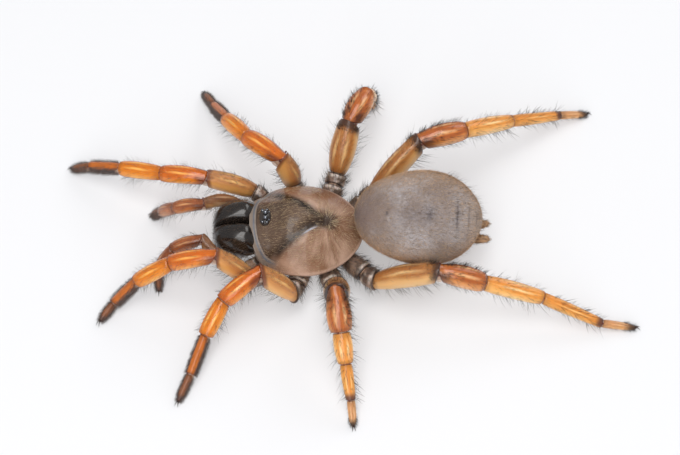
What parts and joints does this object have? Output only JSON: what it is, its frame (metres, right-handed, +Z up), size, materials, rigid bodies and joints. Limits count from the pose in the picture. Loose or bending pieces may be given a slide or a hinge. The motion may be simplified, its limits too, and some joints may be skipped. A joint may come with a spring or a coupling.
{
  "type": "trapdoor spider",
  "caption": "Life-size still model of a stout ground spider with amber legs, black jaws, a domed brown carapace and a velvety egg-shaped abdomen.",
  "frame": {"origin": "on the floor, at the bottom centre of the whole animal's box", "axes": "-Y is the way the head faces, +X is the animal's left, +Z is up"},
  "size_m": [0.0316, 0.0464, 0.0088],
  "materials": {
    "carapace_shell": "satin brown-grey shell with a faint gloss",
    "chelicera_shell": "glossy black shell",
    "fang_shell": "polished black-brown horn",
    "eye_shell": "polished dark lenses",
    "sternum_shell": "satin yellow-brown plate",
    "abdomen_skin": "soft grey-brown velvety skin",
    "pedicel_skin": "pale soft skin",
    "spinneret_skin": "matt orange-brown skin",
    "coxa_shell": "satin grey-brown shell",
    "femur_shell": "satin ochre shell",
    "amber_shell": "glossy amber shell",
    "foot_shell": "orange-brown shell, darker to the tip",
    "palp_shell": "satin red-brown shell"
  },
  "bodies": {
    "root": {"abdomen": "abdomen_skin", "carapace": "carapace_shell", "chelicera_left": "chelicera_shell", "chelicera_right": "chelicera_shell", "eye_group": "eye_shell", "fang_left": "fang_shell", "fang_right": "fang_shell", "leg1_left_coxa": "coxa_shell", "leg1_left_femur": "femur_shell", "leg1_left_foot": "foot_shell", "leg1_left_patella": "amber_shell", "leg1_left_tibia": "amber_shell", "leg1_right_coxa": "coxa_shell", "leg1_right_femur": "femur_shell", "leg1_right_foot": "foot_shell", "leg1_right_patella": "amber_shell", "leg1_right_tibia": "amber_shell", "leg2_left_coxa": "coxa_shell", "leg2_left_femur": "femur_shell", "leg2_left_foot": "foot_shell", "leg2_left_patella": "amber_shell", "leg2_left_tibia": "amber_shell", "leg2_right_coxa": "coxa_shell", "leg2_right_femur": "femur_shell", "leg2_right_foot": "foot_shell", "leg2_right_patella": "amber_shell", "leg2_right_tibia": "amber_shell", "leg3_left_coxa": "coxa_shell", "leg3_left_femur": "femur_shell", "leg3_left_foot": "foot_shell", "leg3_left_patella": "amber_shell", "leg3_left_tibia": "amber_shell", "leg3_right_coxa": "coxa_shell", "leg3_right_femur": "femur_shell", "leg3_right_foot": "foot_shell", "leg3_right_patella": "amber_shell", "leg3_right_tibia": "amber_shell", "leg4_left_coxa": "coxa_shell", "leg4_left_femur": "femur_shell", "leg4_left_foot": "foot_shell", "leg4_left_patella": "amber_shell", "leg4_left_tibia": "amber_shell", "leg4_right_coxa": "coxa_shell", "leg4_right_femur": "femur_shell", "leg4_right_foot": "foot_shell", "leg4_right_patella": "amber_shell", "leg4_right_tibia": "amber_shell", "palp_left_coxa": "coxa_shell", "palp_left_femur": "femur_shell", "palp_left_shin": "palp_shell", "palp_left_tarsus": "foot_shell", "palp_right_coxa": "coxa_shell", "palp_right_femur": "femur_shell", "palp_right_shin": "palp_shell", "palp_right_tarsus": "foot_shell", "pedicel": "pedicel_skin", "spinneret_left": "spinneret_skin", "spinneret_right": "spinneret_skin", "sternum": "sternum_shell"}
  },
  "joints": []
}
